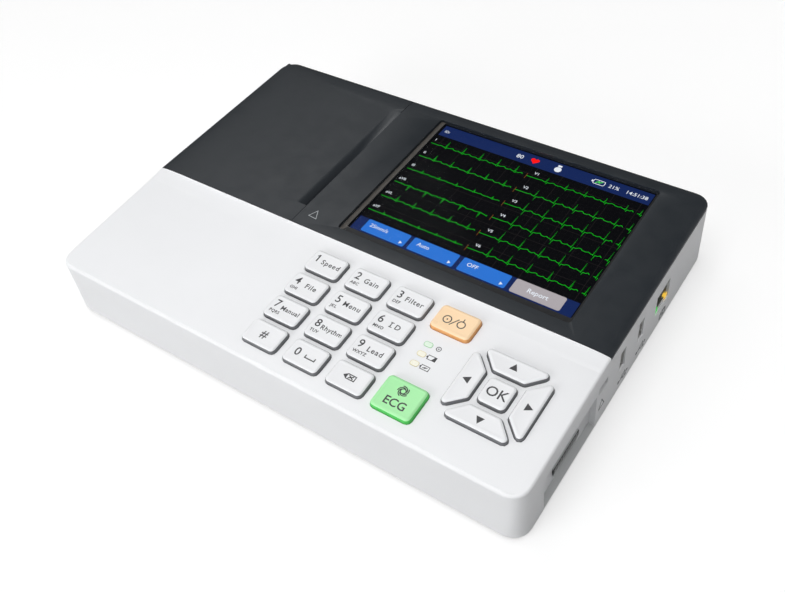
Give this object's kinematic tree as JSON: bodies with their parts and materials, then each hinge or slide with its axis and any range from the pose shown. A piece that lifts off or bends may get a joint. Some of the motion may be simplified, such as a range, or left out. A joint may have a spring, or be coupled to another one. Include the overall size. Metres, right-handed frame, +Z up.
{
  "type": "ecg machine",
  "caption": "Desktop electrocardiograph: wedge casing with a colour screen, keypad, chart printer under a hinged door and sockets on its right side.",
  "frame": {"origin": "on the table, under the middle of the casing", "axes": "+X to the side with the sockets (the user's right), +Y to the back, +Z up"},
  "size_m": [0.2914, 0.2094, 0.043],
  "materials": {
    "white_plastic": "white moulded ABS with a fine satin texture",
    "slate_plastic": "dark slate grey moulded ABS, semi-gloss",
    "black_plastic": "black moulded plastic",
    "grey_plastic": "mid grey moulded plastic",
    "orange_plastic": "orange tinted key cap",
    "green_plastic": "green tinted key cap",
    "clear_plastic": "translucent light guide",
    "window_glass": "clear flat window",
    "screen": "liquid crystal display face",
    "circuit_board": "green circuit board",
    "steel": "bright plated steel",
    "rubber": "black rubber",
    "silicone": "grey silicone keypad sheet",
    "paper": "thermal chart paper",
    "nylon": "natural nylon gear"
  },
  "bodies": {
    "casing": {"upper_housing": "white_plastic", "screen_panel": "slate_plastic", "display_glass": "window_glass", "lcd_module": "screen", "run_light": "clear_plastic", "battery_light": "clear_plastic", "charge_light": "clear_plastic", "keypad_membrane": "silicone", "keypad_board": "circuit_board", "door_hinge_pin": "steel", "stepper_motor": "steel", "gear_plate": "steel", "thermal_printhead": "grey_plastic", "printhead_bracket": "steel", "paper_tray": "black_plastic", "main_board": "circuit_board", "power_board": "circuit_board", "lan_jack": "steel", "usb_port_front": "steel", "usb_port_rear": "steel", "micro_usb_port": "steel", "patient_connector": "black_plastic", "power_inlet": "black_plastic", "base_cover": "white_plastic", "battery_cover": "white_plastic", "battery_pack": "grey_plastic", "speaker": "black_plastic", "foot_front_left": "rubber", "screw_front_left": "steel", "foot_front_right": "rubber", "screw_front_right": "steel", "foot_rear_left": "rubber", "screw_rear_left": "steel", "foot_rear_right": "rubber", "screw_rear_right": "steel"},
    "door": {"printer_door": "slate_plastic"},
    "platen": {"platen_roller": "rubber", "platen_gear": "nylon"},
    "idler": {"idler_gear": "nylon"},
    "pinion": {"motor_pinion": "steel"},
    "roll": {"paper_roll": "paper"},
    "key_1_cap": {"key_1": "white_plastic"},
    "key_2_cap": {"key_2": "white_plastic"},
    "key_3_cap": {"key_3": "white_plastic"},
    "key_4_cap": {"key_4": "white_plastic"},
    "key_5_cap": {"key_5": "white_plastic"},
    "key_6_cap": {"key_6": "white_plastic"},
    "key_7_cap": {"key_7": "white_plastic"},
    "key_8_cap": {"key_8": "white_plastic"},
    "key_9_cap": {"key_9": "white_plastic"},
    "key_hash_cap": {"key_hash": "white_plastic"},
    "key_0_cap": {"key_0": "white_plastic"},
    "key_delete_cap": {"key_delete": "white_plastic"},
    "power_key_cap": {"power_key": "orange_plastic"},
    "ecg_key_cap": {"ecg_key": "green_plastic"},
    "ok_key_cap": {"ok_key": "white_plastic"},
    "arrow_up_cap": {"arrow_up": "white_plastic"},
    "arrow_left_cap": {"arrow_left": "white_plastic"},
    "arrow_down_cap": {"arrow_down": "white_plastic"},
    "arrow_right_cap": {"arrow_right": "white_plastic"}
  },
  "joints": [
    {"name": "door_hinge", "type": "hinge", "parent": "casing", "child": "door", "pos_m": [-0.1424, 0.04, 0.0389], "axis": [0, -1, 0], "range_deg": [0, 80]},
    {"name": "platen_spin", "type": "hinge", "parent": "door", "child": "platen", "pos_m": [-0.0563, 0.0427, 0.0342], "axis": [0, 1, 0], "continuous": true},
    {"name": "idler_spin", "type": "hinge", "parent": "casing", "child": "idler", "pos_m": [-0.0585, -0.003, 0.02352], "axis": [0, 1, 0], "continuous": true},
    {"name": "motor_spin", "type": "hinge", "parent": "casing", "child": "pinion", "pos_m": [-0.068, -0.003, 0.01905], "axis": [0, 1, 0], "continuous": true},
    {"name": "paper_roll_spin", "type": "hinge", "parent": "casing", "child": "roll", "pos_m": [-0.112, 0.0427, 0.0227], "axis": [0, 1, 0], "continuous": true},
    {"name": "key_1_press", "type": "slide", "parent": "casing", "child": "key_1_cap", "axis": [0, -0.049, 0.9988], "range_m": [-0.001, 0], "stiffness_N_per_m": 600},
    {"name": "key_2_press", "type": "slide", "parent": "casing", "child": "key_2_cap", "axis": [0, -0.049, 0.9988], "range_m": [-0.001, 0], "stiffness_N_per_m": 600},
    {"name": "key_3_press", "type": "slide", "parent": "casing", "child": "key_3_cap", "axis": [0, -0.049, 0.9988], "range_m": [-0.001, 0], "stiffness_N_per_m": 600},
    {"name": "key_4_press", "type": "slide", "parent": "casing", "child": "key_4_cap", "axis": [0, -0.049, 0.9988], "range_m": [-0.001, 0], "stiffness_N_per_m": 600},
    {"name": "key_5_press", "type": "slide", "parent": "casing", "child": "key_5_cap", "axis": [0, -0.049, 0.9988], "range_m": [-0.001, 0], "stiffness_N_per_m": 600},
    {"name": "key_6_press", "type": "slide", "parent": "casing", "child": "key_6_cap", "axis": [0, -0.049, 0.9988], "range_m": [-0.001, 0], "stiffness_N_per_m": 600},
    {"name": "key_7_press", "type": "slide", "parent": "casing", "child": "key_7_cap", "axis": [0, -0.049, 0.9988], "range_m": [-0.001, 0], "stiffness_N_per_m": 600},
    {"name": "key_8_press", "type": "slide", "parent": "casing", "child": "key_8_cap", "axis": [0, -0.049, 0.9988], "range_m": [-0.001, 0], "stiffness_N_per_m": 600},
    {"name": "key_9_press", "type": "slide", "parent": "casing", "child": "key_9_cap", "axis": [0, -0.049, 0.9988], "range_m": [-0.001, 0], "stiffness_N_per_m": 600},
    {"name": "key_hash_press", "type": "slide", "parent": "casing", "child": "key_hash_cap", "axis": [0, -0.049, 0.9988], "range_m": [-0.001, 0], "stiffness_N_per_m": 600},
    {"name": "key_0_press", "type": "slide", "parent": "casing", "child": "key_0_cap", "axis": [0, -0.049, 0.9988], "range_m": [-0.001, 0], "stiffness_N_per_m": 600},
    {"name": "key_delete_press", "type": "slide", "parent": "casing", "child": "key_delete_cap", "axis": [0, -0.049, 0.9988], "range_m": [-0.001, 0], "stiffness_N_per_m": 600},
    {"name": "power_key_press", "type": "slide", "parent": "casing", "child": "power_key_cap", "axis": [0, -0.049, 0.9988], "range_m": [-0.001, 0], "stiffness_N_per_m": 600},
    {"name": "ecg_key_press", "type": "slide", "parent": "casing", "child": "ecg_key_cap", "axis": [0, -0.049, 0.9988], "range_m": [-0.001, 0], "stiffness_N_per_m": 600},
    {"name": "ok_key_press", "type": "slide", "parent": "casing", "child": "ok_key_cap", "axis": [0, -0.049, 0.9988], "range_m": [-0.001, 0], "stiffness_N_per_m": 600},
    {"name": "arrow_up_press", "type": "slide", "parent": "casing", "child": "arrow_up_cap", "axis": [0, -0.049, 0.9988], "range_m": [-0.001, 0], "stiffness_N_per_m": 600},
    {"name": "arrow_left_press", "type": "slide", "parent": "casing", "child": "arrow_left_cap", "axis": [0, -0.049, 0.9988], "range_m": [-0.001, 0], "stiffness_N_per_m": 600},
    {"name": "arrow_down_press", "type": "slide", "parent": "casing", "child": "arrow_down_cap", "axis": [0, -0.049, 0.9988], "range_m": [-0.001, 0], "stiffness_N_per_m": 600},
    {"name": "arrow_right_press", "type": "slide", "parent": "casing", "child": "arrow_right_cap", "axis": [0, -0.049, 0.9988], "range_m": [-0.001, 0], "stiffness_N_per_m": 600}
  ],
  "couplings": [
    {"joint": "platen_spin", "follows": "paper_roll_spin", "ratio": 3},
    {"joint": "idler_spin", "follows": "paper_roll_spin", "ratio": -2.0625},
    {"joint": "motor_spin", "follows": "paper_roll_spin", "ratio": 3.3}
  ]
}
